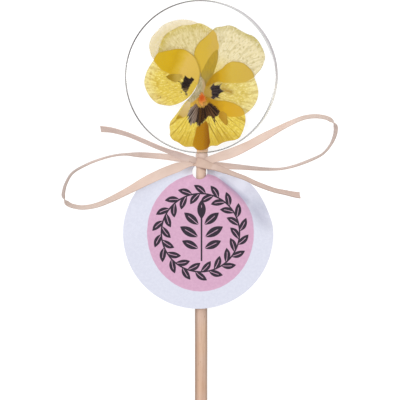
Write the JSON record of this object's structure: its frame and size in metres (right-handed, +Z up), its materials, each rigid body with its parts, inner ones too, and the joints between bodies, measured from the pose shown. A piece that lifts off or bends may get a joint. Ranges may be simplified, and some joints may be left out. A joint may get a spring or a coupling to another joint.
{
  "type": "flower lollipop",
  "caption": "Clear round lollipop with a pressed yellow flower inside, on a wooden stick with a round card tag and a ribbon bow.",
  "frame": {"origin": "centre of the candy disc's flat back, which the lollipop lies on", "axes": "+X to the flower's right, +Y along the stick's line from the stick to the top of the disc, +Z up, out of the side that shows"},
  "size_m": [0.091, 0.1893, 0.009],
  "materials": {
    "candy": "clear boiled sugar, smooth and glossy, with a thin grey line at its rim",
    "petals_upper": "dry translucent petal, pale cream yellow with fine speckles",
    "petals_lower": "dry translucent petal, warm yellow with fine veins and near-black blotches by the middle",
    "sepals": "dry olive leaf",
    "throat": "soft, orange fading to pale tan",
    "stick": "bare birch, fine straight grain",
    "tag": null,
    "ribbon": "narrow peach satin, soft sheen"
  },
  "bodies": {
    "root": {"candy": "candy", "petal_back": "petals_upper", "petal_upper_left": "petals_upper", "petal_upper_right": "petals_upper", "petal_left": "petals_lower", "petal_right": "petals_lower", "petal_lip": "petals_lower", "sepal_upper": "sepals", "sepal_lower": "sepals", "throat": "throat", "stick": "stick", "tag": "tag", "ribbon_knot": "ribbon", "ribbon_loop_left": "ribbon", "ribbon_loop_right": "ribbon", "ribbon_tail_left": "ribbon", "ribbon_tail_right": "ribbon"}
  },
  "joints": []
}
